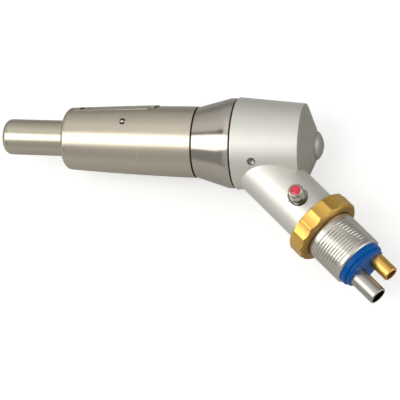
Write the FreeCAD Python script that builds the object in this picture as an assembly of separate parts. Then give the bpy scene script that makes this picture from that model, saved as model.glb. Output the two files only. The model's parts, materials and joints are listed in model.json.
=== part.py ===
import FreeCAD, Part
import math
import os

# Dental air motor with an angled neck, in millimetres.
# The main axis is X, from the front spigot (negative) to the rear cap (positive).
# The origin is the centre of the body's front face, at the root of the spigot.
# The neck leaves the head downwards in the XY plane, and Z is square to that plane,
# so the red-dotted reversing button points up.

Vector = FreeCAD.Vector

# Outer form of the straight part
spigot_length = 14.85
spigot_diameter = 8.1
spigot_round = 1.7
body_length = 30.3
body_front_diameter = 13.9
body_rear_diameter = 15.94
body_swell = 0.18
body_front_round = 1.35
seam_width = 0.34
seam_depth = 0.3
ring_length = 8.7
ring_front_step = 0.12
ring_rear_diameter = 20.0
ring_rim_length = 1.4
head_length = 14.8
head_front_step = 0.25
head_rear_diameter = 18.5
head_front_round = 0.3
head_cone_length = 2.8
cap_diameter = 6.1
cap_height = 1.5
cap_edge_height = 0.35

# Angled neck, measured along its own axis from where it meets the main axis
bend_angle = 42.0
bend_setback = 0.38
neck_diameter = 12.3
neck_length = 26.3
neck_root_station = 6.5
neck_thread_diameter = 10.7
neck_thread_length = 2.0

# Running and seating clearances
running_gap = 0.05
press_gap = 0.01
seat_gap = 0.03
slide_gap = 0.04

# Front socket that the driven attachment's sleeve enters, and the spigot's stub behind it
socket_diameter = 10.6
socket_depth = 6.0
stub_diameter = 7.4
stub_length = 4.0
spigot_mouth_diameter = 4.2
shaft_tunnel_diameter = 5.0

# Motor cartridge in the body's tail
tail_diameter = 13.8
tail_wall = 0.9
front_plate_thickness = 3.5
liner_length = 18.5
rear_plate_thickness = 3.5
lock_ring_thickness = 1.3
lock_ring_hole_diameter = 7.0
liner_bore_diameter = 10.2
liner_offset = 0.45
rotor_end_gap = 0.12
rotor_tip_gap = 0.05
vane_count = 5
vane_thickness = 0.7
vane_slot_clearance = 0.04
vane_height = 2.1
exhaust_window_diameter = 2.4
exhaust_groove_length = 2.9
exhaust_groove_depth = 1.0
exhaust_groove_setback = 0.6
head_cavity_behind_tail = 2.2

# Drive shaft, its dog and the three ball bearings
shaft_diameter = 4.0
shaft_front_diameter = 3.175
shaft_nose_diameter = 1.6
front_bearing_diameter = 6.35
front_bearing_width = 2.38
main_bearing_diameter = 8.0
main_bearing_width = 2.5
main_bearing_shoulder_diameter = 6.4
front_ball_diameter = 0.8
main_ball_diameter = 1.0
ball_count = 7
bearing_mouth_wall = 3.3
retainer_thickness = 0.4
retainer_hole_diameter = 4.8
dog_diameter = 3.7
dog_recess = 0.85
dog_slot_width = 1.0
dog_slot_depth = 1.2

# Catch lever let into the body's side
lever_angle = 22.0
lever_front_station = 1.55
lever_tail_setback = 9.3
lever_width = 7.0
lever_rise = 0.3
socket_roof = 0.45
lever_corner_round = 2.0
lever_front_corner_round = 0.8
lever_side_gap = 0.12
lever_rear_gap = 0.65
lever_floor_gap = 0.15
lever_boss_radius = 0.95
lever_press_angle = 5.0
lever_press_clearance = 0.43
pin_setback = 6.5
pin_drop = 1.75
pin_diameter = 1.4
pin_slot_width = 0.3
pin_slot_depth = 0.3
pin_recess = 0.12
catch_ball_station = 3.9
catch_ball_aside = 2.1
catch_ball_diameter = 1.4
catch_ball_bite = 0.45
lever_mark_spacing = 1.6
lever_mark_diameter = 0.7
lever_mark_depth = 0.4
spring_setback = 2.8
spring_diameter = 2.0
spring_wire_diameter = 0.3
spring_turns = 3
spring_pocket_depth = 1.1
boss_well_room = 0.3

# Index mark on the control ring, and the head's set screw (angles from +Y towards +Z)
ring_mark_angle = 143.0
ring_mark_diameter = 0.6
ring_mark_depth = 0.3
set_screw_setback = 4.82
set_screw_angle = 136.0
set_screw_diameter = 1.75
set_screw_recess = 0.35
set_screw_slot_width = 0.35
set_screw_slot_depth = 0.45
cap_shank_diameter = 4.0
cap_shank_length = 4.5

# Reversing valve across the neck
valve_station = 21.7
valve_sleeve_diameter = 4.6
valve_bore_diameter = 3.56
valve_countersink = 0.3
button_diameter = 3.3
button_travel = 3.4
button_stop_gap = 0.15
button_chamfer = 0.3
inlay_diameter = 2.3
inlay_depth = 0.25
spool_ring_count = 4
spool_ring_pitch = 2.6
spool_groove_width = 0.8
spool_groove_depth = 0.45

# Gland nut, swivelling hose connector, gasket and the two air tubes
nut_corner_diameter = 16.0
nut_facets = 16
nut_length = 4.05
nut_back_gap = 0.06
nut_chamfer_length = 0.65
nut_chamfer_depth = 0.6
nut_back_chamfer = 0.3
nut_lip_length = 0.6
nut_lip_clearance = 0.15
nut_mouth_depth = 0.9
nut_mouth_gap = 0.32
stem_diameter = 8.3
stem_length = 4.0
stem_ring_width = 0.9
stem_ring_depth = 0.6
circlip_thickness = 0.5
circlip_height = 0.75
circlip_groove_depth = 0.25
thread_diameter = 11.88
thread_end_station = 39.8
collar_root_diameter = 11.4
collar_length = 1.3
thread_end_chamfer = 0.3
gasket_diameter = 10.85
gasket_flange_thickness = 1.3
gasket_boss_diameter = 9.9
gasket_boss_thickness = 0.9
gasket_round = 0.25
exhaust_tube_diameter = 4.1
exhaust_tube_bore = 3.3
exhaust_tube_offset = -2.3
exhaust_tube_end = 48.4
drive_tube_diameter = 3.46
drive_tube_bore = 2.5
drive_tube_offset = 2.96
drive_tube_end = 46.8
tube_seat_depth = 6.8
tube_end_round = 0.15
tube_groove_length = 0.9
tube_groove_depth = 0.2
exhaust_way_diameter = 2.8
exhaust_way_offset = -2.3
exhaust_way_wall = 0.45
drive_way_diameter = 2.0
drive_way_offset = 2.4

# Stations and radii that follow from the values above
body_front_radius = body_front_diameter / 2
body_rear_radius = body_rear_diameter / 2
ring_front_diameter = body_rear_diameter - 2 * ring_front_step
head_front_diameter = ring_rear_diameter + 2 * head_front_step
ring_start = body_length + seam_width
ring_end = ring_start + ring_length
head_start = ring_end + seam_width
head_end = head_start + head_length
bend_station = head_start - bend_setback
set_screw_station = head_start + set_screw_setback
cone_end = head_end + head_cone_length
tail_radius = tail_diameter / 2
motor_bore_radius = tail_radius - tail_wall
cartridge_radius = motor_bore_radius - seat_gap
head_bore_radius = tail_radius + running_gap
control_bore_radius = tail_radius + running_gap

cartridge_length = front_plate_thickness + liner_length + rear_plate_thickness + lock_ring_thickness
exhaust_groove_start = head_start + exhaust_groove_setback
exhaust_window_station = exhaust_groove_start + exhaust_groove_length / 2
liner_end = exhaust_window_station + exhaust_window_diameter / 2 + exhaust_groove_setback + seam_width
liner_start = liner_end - liner_length
motor_bore_start = liner_start - front_plate_thickness
tail_end = motor_bore_start + cartridge_length
head_cavity_end = tail_end + head_cavity_behind_tail
rotor_radius = liner_bore_diameter / 2 - liner_offset - rotor_tip_gap
rotor_start = liner_start + rotor_end_gap
rotor_end = liner_end - rotor_end_gap

front_bearing_start = bearing_mouth_wall - spigot_length
front_bearing_end = front_bearing_start + front_bearing_width
main_bearing_start = liner_start - rotor_end_gap - main_bearing_width
rear_bearing_start = liner_end + rotor_end_gap
dog_start = dog_recess - spigot_length
dog_end = front_bearing_start - running_gap

lever_end_station = body_length - lever_tail_setback
lever_length = lever_end_station - lever_front_station
pin_station = lever_end_station - pin_setback
spring_station = lever_end_station - spring_setback
lever_press_drop = pin_setback * math.sin(math.radians(lever_press_angle))
lever_underside = socket_diameter / 2 + socket_roof
lever_slot_floor = lever_underside - lever_floor_gap
lever_rear_floor = lever_underside - lever_press_drop - lever_press_clearance
catch_ball_reach = socket_diameter / 2 - catch_ball_bite + catch_ball_diameter / 2
catch_ball_height = math.sqrt(catch_ball_reach ** 2 - catch_ball_aside ** 2)
lever_mark_station = catch_ball_station + lever_mark_spacing
pin_height = lever_underside - pin_drop
pin_chord = math.sqrt(body_rear_radius ** 2 - pin_height ** 2)

neck_radius = neck_diameter / 2
neck_end = neck_length + neck_thread_length
nut_start = neck_length + nut_back_gap
nut_end = nut_start + nut_length
nut_lip_end = nut_end - nut_mouth_depth
nut_lip_start = nut_lip_end - nut_lip_length
stem_start = neck_end - stem_length
collar_start = nut_lip_end + slide_gap * 2
circlip_start = (neck_end + nut_lip_start - circlip_thickness) / 2
gasket_flange_end = thread_end_station + gasket_flange_thickness
gasket_end = gasket_flange_end + gasket_boss_thickness
tube_seat = thread_end_station - tube_seat_depth
button_top = neck_radius + button_travel + button_stop_gap
spool_bottom = running_gap - neck_radius
spool_radius = valve_bore_diameter / 2 - slide_gap
spool_groove_radius = spool_radius - spool_groove_depth
tube_groove_end = gasket_end + running_gap


def turned(profile):
    """Solid of revolution about X: each step is (x, r) or an arc (via x, via r, x, r)."""
    here = Vector(profile[0][0], profile[0][1], 0)
    first = here
    edges = []
    for step in profile[1:]:
        there = Vector(step[-2], step[-1], 0)
        if len(step) == 4:
            edges.append(Part.Arc(here, Vector(step[0], step[1], 0), there).toShape())
        else:
            edges.append(Part.makeLine(here, there))
        here = there
    edges.append(Part.makeLine(here, first))
    face = Part.Face(Part.Wire(edges))
    return face.revolve(Vector(0, 0, 0), Vector(1, 0, 0), 360)


def rod(start, end, diameter):
    """Plain cylinder along X."""
    return Part.makeCylinder(diameter / 2, end - start, Vector(start, 0, 0), Vector(1, 0, 0))


def tube(start, end, outer, inner):
    """Plain sleeve along X."""
    return rod(start, end, outer).cut(rod(start - 1, end + 1, inner))


def round_out(x, radius, size, rear=False):
    """Arc step of a convex quarter round at an outer corner, from the face to the side."""
    lean = size * math.sqrt(0.5)
    if rear:
        return (x - size + lean, radius - size + lean, x, radius - size)
    return (x + size - lean, radius - size + lean, x + size, radius)


def body_radius(x):
    """Outer radius of the gently swelling body at a station."""
    straight = body_front_radius + (body_rear_radius - body_front_radius) * x / body_length
    lean = (2 * x - body_length) / body_length
    return straight + body_swell * (1 - lean * lean)


def turn_about_main(shape, angle):
    """Turns a piece about X, so that its +Y side faces the angle (from +Y towards +Z)."""
    placed = shape.copy()
    placed.rotate(Vector(0, 0, 0), Vector(1, 0, 0), angle)
    return placed


def on_neck(shape):
    """Carries a piece made along X to the neck's axis."""
    placed = shape.copy()
    placed.rotate(Vector(0, 0, 0), Vector(0, 0, 1), -bend_angle)
    placed.translate(Vector(bend_station, 0, 0))
    return placed


def along_neck(start, end, diameter, offset=0.0):
    """Plain cylinder along X, set off from the axis in Y."""
    return Part.makeCylinder(diameter / 2, end - start, Vector(start, offset, 0), Vector(1, 0, 0))


def squeezed_ring(middle, width, inner, outer):
    """O-ring flattened between a groove's floor and a bore, with bevelled corners, about X."""
    bevel = (outer - inner) * 0.3
    start = middle - width / 2
    end = middle + width / 2
    outline = [(start, inner + bevel), (start, outer - bevel), (start + bevel, outer), (end - bevel, outer)]
    outline += [(end, outer - bevel), (end, inner + bevel), (end - bevel, inner), (start + bevel, inner)]
    return turned(outline)


def ball_bearing(start, width, outer, inner, ball):
    """Outer race, inner race, balls and cage of one deep-groove bearing."""
    pitch = (outer + inner) / 4
    middle = start + width / 2
    wall = (outer - inner) / 2
    groove = Part.makeTorus(pitch, ball / 2 + press_gap, Vector(middle, 0, 0), Vector(1, 0, 0))
    land = wall * 0.3
    outer_race = tube(start, start + width, outer - 2 * press_gap, outer - 2 * land).cut(groove)
    inner_race = tube(start, start + width, inner + 2 * land, inner + 2 * press_gap).cut(groove)
    balls = []
    pockets = []
    for index in range(ball_count):
        angle = 2 * math.pi * index / ball_count
        outward = Vector(0, math.cos(angle), math.sin(angle))
        centre = Vector(middle, 0, 0) + outward * pitch
        balls.append(Part.makeSphere(ball / 2 - press_gap, centre))
        pockets.append(Part.makeCylinder(ball / 2 + press_gap, outer, Vector(middle, 0, 0), outward))
    cage_height = wall * 0.3
    cage = tube(middle - ball * 0.3, start + width - 0.1, 2 * pitch + cage_height, 2 * pitch - cage_height)
    return outer_race, inner_race, Part.makeCompound(balls), cage.cut(pockets)


# Front housing: swelling sleeve, socket, lever slot and the long tail that carries the motor

def body_profile(extra_rear=0.0):
    """Outer points of the body's side, with an extra height that grows towards its rear."""
    middle = body_length / 2
    return (middle, body_radius(middle) + extra_rear / 4, body_length, body_rear_radius + extra_rear)


def lever_outline(gap, rear_gap, low, high):
    """Block with the lever's plan, from a height up to another, in the lever's own frame."""
    start = lever_front_station - gap
    end = lever_end_station + rear_gap
    half = lever_width / 2 + gap
    block = Part.makeBox(end - start, high - low, 2 * half, Vector(start, low, -half))
    rear_edges = []
    front_edges = []
    for edge in block.Edges:
        ends = [vertex.Point for vertex in edge.Vertexes]
        upright = abs(ends[0].y - ends[1].y) > (high - low) / 2
        if upright and ends[0].x > end - 0.01:
            rear_edges.append(edge)
        elif upright:
            front_edges.append(edge)
    block = block.makeFillet(lever_corner_round + gap, rear_edges)
    front_edges = [edge for edge in block.Edges if is_front_upright(edge, start)]
    return block.makeFillet(lever_front_corner_round + gap, front_edges)


def is_front_upright(edge, start):
    """True for the two upright edges at the front end of the lever's block."""
    ends = [vertex.Point for vertex in edge.Vertexes]
    if len(ends) < 2 or abs(ends[0].y - ends[1].y) < 0.1:
        return False
    return abs(ends[0].x - start) < 0.01 and abs(ends[1].x - start) < 0.01


def lever_slot():
    """Space cut in the body for the lever, its boss and its press travel."""
    high = body_rear_radius + 2
    slot = lever_outline(lever_side_gap, lever_rear_gap, lever_slot_floor, high)
    boss_room = lever_boss_radius + lever_side_gap
    half = lever_width / 2 + lever_side_gap
    boss = Part.makeCylinder(boss_room, 2 * half, Vector(pin_station, pin_height, -half), Vector(0, 0, 1))
    well_half = boss_room + boss_well_room
    boss_well = Part.makeBox(2 * well_half, lever_slot_floor - pin_height + boss_well_room, 2 * half,
                             Vector(pin_station - well_half, pin_height, -half))
    low_end = lever_outline(lever_side_gap, lever_rear_gap, lever_rear_floor, high)
    keep = Part.makeBox(lever_length, high, 2 * lever_width, Vector(pin_station, 0, -lever_width))
    return slot.fuse([boss, boss_well, low_end.common(keep)])


def lever_frame_hole(station, diameter, low, high, aside=0):
    """Hole through the lever's thickness, aside from its centre line, in the lever's own frame."""
    return Part.makeCylinder(diameter / 2, high - low, Vector(station, low, aside), Vector(0, 1, 0))


def pin_hole(diameter):
    """Cross hole for the lever's pin, in the lever's own frame."""
    reach = body_rear_radius + 1
    start = Vector(pin_station, pin_height, -reach)
    return Part.makeCylinder(diameter / 2, 2 * reach, start, Vector(0, 0, 1))


def make_front_housing():
    outline = [(0, 0), (0, body_front_radius - body_front_round)]
    outline.append(round_out(0, body_radius(body_front_round), body_front_round))
    outline.append(body_profile())
    outline += [(body_length, tail_radius), (tail_end, tail_radius), (tail_end, 0)]
    shell = turned(outline)
    bores = [rod(-1, socket_depth, socket_diameter)]
    bores.append(rod(socket_depth, socket_depth + stub_length, stub_diameter + 2 * press_gap))
    bores.append(rod(0, motor_bore_start + 1, shaft_tunnel_diameter))
    bores.append(rod(motor_bore_start, tail_end + 1, 2 * motor_bore_radius))
    shell = shell.cut(bores)
    slot = lever_slot()
    ball_way = lever_frame_hole(catch_ball_station, catch_ball_diameter + 2 * slide_gap,
                                catch_ball_height - catch_ball_diameter, body_rear_radius, catch_ball_aside)
    spring_pocket = lever_frame_hole(spring_station, spring_diameter + 2 * slide_gap,
                                     lever_rear_floor - spring_pocket_depth, body_rear_radius)
    cuts = [slot, ball_way, spring_pocket, pin_hole(pin_diameter + 2 * press_gap)]
    shell = shell.cut([turn_about_main(cut, lever_angle) for cut in cuts])
    window = Part.makeCylinder(exhaust_window_diameter / 2, 2 * tail_radius,
                               Vector(exhaust_window_station, 0, 0), Vector(0, -1, 0))
    return shell.cut(window)


def make_front_spigot():
    radius = spigot_diameter / 2
    tip = -spigot_length
    outline = [(tip, 0), (tip, radius - spigot_round), round_out(tip, radius, spigot_round)]
    outline += [(socket_depth, radius), (socket_depth, stub_diameter / 2)]
    outline += [(socket_depth + stub_length, stub_diameter / 2), (socket_depth + stub_length, 0)]
    bearing_bore = rod(front_bearing_start, socket_depth + stub_length + 1, front_bearing_diameter)
    return turned(outline).cut([rod(tip - 1, socket_depth, spigot_mouth_diameter), bearing_bore])


def make_front_retainer():
    return tube(front_bearing_end, front_bearing_end + retainer_thickness,
                front_bearing_diameter - 2 * press_gap, retainer_hole_diameter)


# Catch lever, its pin, ball and spring

def make_catch_lever():
    low = pin_height - lever_boss_radius
    high = body_rear_radius + 1
    top = turned([(0, 0), (0, body_front_radius), body_profile(lever_rise * body_length / lever_end_station),
                  (body_length, 0)])
    blank = lever_outline(0, 0, lever_underside, high)
    half = lever_width / 2
    pin_start = Vector(pin_station, pin_height, -half)
    boss = Part.makeCylinder(lever_boss_radius, 2 * half, pin_start, Vector(0, 0, 1))
    web = Part.makeBox(2 * lever_boss_radius, lever_underside - pin_height + lever_rise, 2 * half,
                       Vector(pin_station - lever_boss_radius, pin_height, -half))
    lever = blank.common(top).fuse([boss, web]).removeSplitter()
    ball_seat = lever_frame_hole(catch_ball_station, catch_ball_diameter + 2 * press_gap, low, high,
                                 catch_ball_aside)
    mark_top = math.sqrt(body_radius(lever_mark_station) ** 2 - catch_ball_aside ** 2)
    mark = lever_frame_hole(lever_mark_station, lever_mark_diameter, mark_top - lever_mark_depth, high,
                            catch_ball_aside)
    lever = lever.cut([ball_seat, mark, pin_hole(pin_diameter + 2 * slide_gap)])
    return turn_about_main(lever, lever_angle)


def make_lever_pin():
    half = pin_chord - pin_recess
    pin_start = Vector(pin_station, pin_height, -half)
    pin = Part.makeCylinder(pin_diameter / 2, 2 * half, pin_start, Vector(0, 0, 1))
    slot = Part.makeBox(pin_diameter * 2, pin_slot_width, pin_slot_depth,
                        Vector(pin_station - pin_diameter, pin_height - pin_slot_width / 2,
                               half - pin_slot_depth))
    return turn_about_main(pin.cut(slot), lever_angle)


def make_catch_ball():
    centre = Vector(catch_ball_station, catch_ball_height, catch_ball_aside)
    ball = Part.makeSphere(catch_ball_diameter / 2, centre)
    return turn_about_main(ball, lever_angle)


def make_lever_spring():
    low = lever_rear_floor - spring_pocket_depth
    wire = spring_wire_diameter
    pitch = (lever_underside - low - wire - slide_gap) / spring_turns
    coil = Part.makeHelix(pitch, pitch * spring_turns, (spring_diameter - wire) / 2)
    start = Vector((spring_diameter - wire) / 2, 0, 0)
    section = Part.Wire(Part.makeCircle(wire / 2, start, Vector(0, 1, 0)))
    spring = Part.Wire(coil).makePipeShell([section], True, True)
    spring.rotate(Vector(0, 0, 0), Vector(1, 0, 0), -90)
    spring.translate(Vector(spring_station, low + wire / 2 + press_gap, 0))
    return turn_about_main(spring, lever_angle)


# Control ring with its two seam seals

def make_control_ring():
    rim_start = ring_end - ring_rim_length
    outline = [(ring_start, control_bore_radius), (ring_start, ring_front_diameter / 2)]
    outline += [(rim_start, ring_rear_diameter / 2), (ring_end, ring_rear_diameter / 2)]
    outline.append((ring_end, control_bore_radius))
    mark_height = ring_rear_diameter / 2 - ring_mark_depth
    mark = Part.makeCylinder(ring_mark_diameter / 2, 2,
                             Vector(ring_end - ring_rim_length / 2, mark_height, 0),
                             Vector(0, 1, 0))
    return turned(outline).cut(turn_about_main(mark, ring_mark_angle))


def make_seam_ring(start, outer):
    return tube(start, start + seam_width - slide_gap, outer - 2 * seam_depth, tail_diameter + 2 * seat_gap)


# Motor cartridge: end plates, eccentric liner, rotor and vanes

def make_end_plate(start, end, bearing_start):
    plate = rod(start, end, 2 * cartridge_radius)
    seat = rod(bearing_start, bearing_start + main_bearing_width, main_bearing_diameter)
    passage = rod(start - 1, end + 1, main_bearing_shoulder_diameter)
    return plate.cut([seat, passage])


def make_liner():
    bore = along_neck(liner_start - 1, liner_end + 1, liner_bore_diameter, liner_offset)
    window = Part.makeCylinder(exhaust_window_diameter / 2, 2 * tail_radius,
                               Vector(exhaust_window_station, 0, 0), Vector(0, -1, 0))
    return rod(liner_start, liner_end, 2 * cartridge_radius).cut([bore, window])


def around_rotor(make_one):
    """One shape for each vane, spaced evenly round the rotor."""
    return [turn_about_main(make_one, 360.0 * index / vane_count) for index in range(vane_count)]


def make_rotor():
    rotor = tube(rotor_start, rotor_end, 2 * rotor_radius, shaft_diameter + 2 * press_gap)
    width = vane_thickness + 2 * vane_slot_clearance
    low = rotor_radius - vane_height - slide_gap
    slot = Part.makeBox(rotor_end - rotor_start + 2, rotor_radius, width,
                        Vector(rotor_start - 1, low, -width / 2))
    return rotor.cut(around_rotor(slot))


def make_vanes():
    low = rotor_radius - vane_height
    vane = Part.makeBox(rotor_end - rotor_start, vane_height, vane_thickness,
                        Vector(rotor_start, low, -vane_thickness / 2))
    return Part.makeCompound(around_rotor(vane))


def make_lock_ring():
    return tube(tail_end - lock_ring_thickness, tail_end, 2 * cartridge_radius, lock_ring_hole_diameter)


def make_drive_shaft():
    nose_start = dog_start + dog_slot_depth + press_gap
    outline = [(nose_start, 0), (nose_start, shaft_nose_diameter / 2), (dog_end, shaft_nose_diameter / 2)]
    outline += [(dog_end, shaft_front_diameter / 2), (front_bearing_end, shaft_front_diameter / 2)]
    outline += [(front_bearing_end, shaft_diameter / 2)]
    shaft_end = rear_bearing_start + main_bearing_width + rotor_end_gap
    outline += [(shaft_end, shaft_diameter / 2), (shaft_end, 0)]
    return turned(outline)


def make_drive_dog():
    dog = rod(dog_start, dog_end, dog_diameter)
    slot = Part.makeBox(dog_slot_depth + 1, dog_diameter + 1, dog_slot_width,
                        Vector(dog_start - 1, -(dog_diameter + 1) / 2, -dog_slot_width / 2))
    return dog.cut([slot, rod(dog_start, dog_end + 1, shaft_nose_diameter + 2 * press_gap)])


# Head casting with the angled neck

def make_rear_housing():
    front = head_front_diameter / 2
    rear = head_rear_diameter / 2
    outline = [(head_start, 0), (head_start, front - head_front_round)]
    outline.append(round_out(head_start, front, head_front_round))
    outline += [(head_end, rear), (cone_end, cap_diameter / 2), (cone_end, 0)]
    neck = rod(neck_root_station, neck_length, neck_diameter)
    neck = neck.fuse(rod(neck_length, neck_end, neck_thread_diameter))
    casting = turned(outline).fuse(on_neck(neck)).removeSplitter()
    bores = [rod(head_start - 1, head_cavity_end, 2 * head_bore_radius)]
    bores.append(rod(exhaust_groove_start, exhaust_groove_start + exhaust_groove_length,
                     2 * head_bore_radius + 2 * exhaust_groove_depth))
    bores.append(rod(cone_end - cap_shank_length, cone_end + 1, cap_shank_diameter + 2 * press_gap))
    screw_hole = Part.makeCylinder(set_screw_diameter / 2 + press_gap, front,
                                   Vector(set_screw_station, tail_radius, 0), Vector(0, 1, 0))
    bores.append(turn_about_main(screw_hole, set_screw_angle))
    bores.append(on_neck(rod(stem_start - 2 * seat_gap, neck_end + 1, stem_diameter + 2 * slide_gap)))
    exhaust_way_drop = valve_sleeve_diameter / 2 + exhaust_way_wall + exhaust_way_diameter / 2
    exhaust_way = along_neck(neck_root_station + 1, stem_start, exhaust_way_diameter, -exhaust_way_drop)
    bores.append(on_neck(exhaust_way))
    sleeve_hole = Part.makeCylinder(valve_sleeve_diameter / 2 + press_gap, 2 * neck_diameter,
                                    Vector(valve_station, 0, -neck_diameter), Vector(0, 0, 1))
    bores.append(on_neck(sleeve_hole))
    bores.append(on_neck(along_neck(valve_station, stem_start, drive_way_diameter, drive_way_offset)))
    return casting.cut(bores)


def make_rear_cap():
    radius = cap_diameter / 2
    edge = cone_end + cap_edge_height
    top = cone_end + cap_height
    rise = top - edge
    dome_radius = (radius ** 2 + rise ** 2) / (2 * rise)
    half_angle = math.asin(radius / dome_radius) / 2
    via = (top - dome_radius * (1 - math.cos(half_angle)), dome_radius * math.sin(half_angle))
    start = cone_end - cap_shank_length + slide_gap
    outline = [(start, 0), (start, cap_shank_diameter / 2), (cone_end, cap_shank_diameter / 2)]
    outline += [(cone_end, radius), (edge, radius), (via[0], via[1], top, 0)]
    return turned(outline)


def make_set_screw():
    top = head_front_diameter / 2 - set_screw_recess - head_front_round
    bottom = tail_radius + running_gap / 2
    screw = Part.makeCylinder(set_screw_diameter / 2, top - bottom,
                              Vector(set_screw_station, bottom, 0), Vector(0, 1, 0))
    slot = Part.makeBox(set_screw_diameter * 2, set_screw_slot_depth + 1, set_screw_slot_width,
                        Vector(set_screw_station - set_screw_diameter, top - set_screw_slot_depth,
                               -set_screw_slot_width / 2))
    return turn_about_main(screw.cut(slot), set_screw_angle)


# Reversing valve: sleeve across the neck, sliding spool, red inlay and O-rings

def across_neck(diameter, low, high):
    return Part.makeCylinder(diameter / 2, high - low, Vector(valve_station, 0, low), Vector(0, 0, 1))


def spool_ring_stations():
    """Heights of the spool's O-rings, evenly spaced about the neck's axis."""
    return [(index - (spool_ring_count - 1) / 2) * spool_ring_pitch for index in range(spool_ring_count)]


def make_valve_sleeve():
    sleeve = across_neck(valve_sleeve_diameter, -neck_diameter, neck_diameter)
    sleeve = sleeve.common(rod(valve_station - neck_radius, valve_station + neck_radius, neck_diameter))
    sleeve = sleeve.cut(across_neck(valve_bore_diameter, -neck_diameter, neck_diameter))
    mouth = valve_bore_diameter / 2
    for side in (1, -1):
        base = Vector(valve_station, 0, side * (neck_radius - 2 * valve_countersink))
        cone_length = 3 * valve_countersink
        cone = Part.makeCone(mouth, mouth + cone_length, cone_length, base, Vector(0, 0, side))
        sleeve = sleeve.cut(cone)
    return on_neck(sleeve)


def make_spool():
    body = across_neck(2 * spool_radius, spool_bottom, neck_radius - valve_countersink)
    button = across_neck(button_diameter, neck_radius - valve_countersink, button_top)
    top_edge = [edge for edge in button.Edges if edge.BoundBox.ZMin > button_top - 0.01]
    button = button.makeChamfer(button_chamfer, top_edge)
    spool = body.fuse(button)
    spool = spool.cut(across_neck(inlay_diameter + 2 * press_gap, button_top - inlay_depth, button_top + 1))
    for station in spool_ring_stations():
        low = station - spool_groove_width / 2
        high = station + spool_groove_width / 2
        collar = across_neck(valve_bore_diameter, low, high)
        spool = spool.cut(collar.cut(across_neck(2 * spool_groove_radius, low, high)))
    return on_neck(spool)


def make_inlay():
    return on_neck(across_neck(inlay_diameter, button_top - inlay_depth, button_top - slide_gap))


def make_spool_rings():
    rings = []
    width = spool_groove_width - 2 * slide_gap
    inner = spool_groove_radius + press_gap
    outer = valve_bore_diameter / 2 - press_gap
    for station in spool_ring_stations():
        ring = squeezed_ring(station, width, inner, outer)
        ring.rotate(Vector(0, 0, 0), Vector(0, 1, 0), -90)
        ring.translate(Vector(valve_station, 0, 0))
        rings.append(ring)
    return on_neck(Part.makeCompound(rings))


# Gland nut and hose connector

def make_gland_nut():
    corner = nut_corner_diameter / 2
    points = []
    for index in range(nut_facets + 1):
        angle = 2 * math.pi * (index + 0.5) / nut_facets
        points.append(Vector(nut_start, corner * math.cos(angle), corner * math.sin(angle)))
    prism = Part.Face(Part.makePolygon(points)).extrude(Vector(nut_length, 0, 0))
    outline = [(nut_start, 0), (nut_start, corner - nut_back_chamfer), (nut_start + nut_back_chamfer, corner)]
    outline += [(nut_end - nut_chamfer_length, corner), (nut_end, corner - nut_chamfer_depth), (nut_end, 0)]
    nut = prism.common(turned(outline))
    bores = [rod(nut_start - 1, nut_lip_start, neck_thread_diameter + 2 * running_gap)]
    bores.append(rod(nut_start, nut_end, stem_diameter + 2 * nut_lip_clearance))
    bores.append(rod(nut_lip_end, nut_end + 1, collar_root_diameter + 2 * nut_mouth_gap))
    return on_neck(nut.cut(bores))


def tube_bores(start, end, extra):
    """Holes for both tubes between two stations, wider than the tubes by an extra radius."""
    exhaust = along_neck(start, end, exhaust_tube_diameter + 2 * extra, exhaust_tube_offset)
    drive = along_neck(start, end, drive_tube_diameter + 2 * extra, drive_tube_offset)
    return [exhaust, drive]


def make_connector():
    stem = stem_diameter / 2
    crest = thread_diameter / 2
    groove_start = stem_start + stem_ring_width
    groove_floor = stem - stem_ring_depth
    clip_floor = stem - circlip_groove_depth
    clip_end = circlip_start + circlip_thickness
    outline = [(stem_start, 0), (stem_start, stem), (groove_start, stem), (groove_start, groove_floor)]
    outline += [(groove_start + stem_ring_width, groove_floor), (groove_start + stem_ring_width, stem)]
    outline += [(circlip_start - press_gap, stem), (circlip_start - press_gap, clip_floor)]
    outline += [(clip_end + press_gap, clip_floor), (clip_end + press_gap, stem), (collar_start, stem)]
    outline += [(collar_start, collar_root_diameter / 2), (collar_start + collar_length, crest)]
    outline += [(thread_end_station - thread_end_chamfer, crest)]
    outline += [(thread_end_station, crest - thread_end_chamfer), (thread_end_station, 0)]
    ways = tube_bores(tube_seat, thread_end_station, press_gap)
    ways.append(along_neck(stem_start - 1, tube_seat, exhaust_way_diameter, exhaust_way_offset))
    ways.append(along_neck(stem_start - 1, tube_seat, drive_way_diameter, drive_way_offset))
    return on_neck(turned(outline).cut(ways))


def make_circlip():
    inner = stem_diameter - 2 * circlip_groove_depth + 2 * press_gap
    ring = tube(circlip_start, circlip_start + circlip_thickness, inner + 2 * circlip_height, inner)
    gap = Part.makeBox(circlip_thickness + 1, stem_diameter, 1.2, Vector(circlip_start - 0.5, 0, -0.6))
    return on_neck(ring.cut(gap))


def make_stem_ring():
    outer = stem_diameter / 2 + slide_gap / 2
    inner = stem_diameter / 2 - stem_ring_depth + press_gap
    middle = stem_start + 1.5 * stem_ring_width
    return on_neck(squeezed_ring(middle, stem_ring_width - 2 * slide_gap, inner, outer))


def make_gasket():
    flange = gasket_diameter / 2
    boss = gasket_boss_diameter / 2
    outline = [(thread_end_station, 0), (thread_end_station, flange)]
    outline.append((gasket_flange_end - gasket_round, flange))
    outline.append(round_out(gasket_flange_end, flange, gasket_round, True))
    outline += [(gasket_flange_end, boss), (gasket_end - gasket_round, boss)]
    outline += [round_out(gasket_end, boss, gasket_round, True), (gasket_end, 0)]
    lip_start = tube_groove_end - tube_groove_length + running_gap
    holes = tube_bores(thread_end_station, lip_start, press_gap)
    holes += tube_bores(thread_end_station, gasket_end, press_gap - tube_groove_depth)
    return on_neck(turned(outline).cut(holes))


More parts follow.
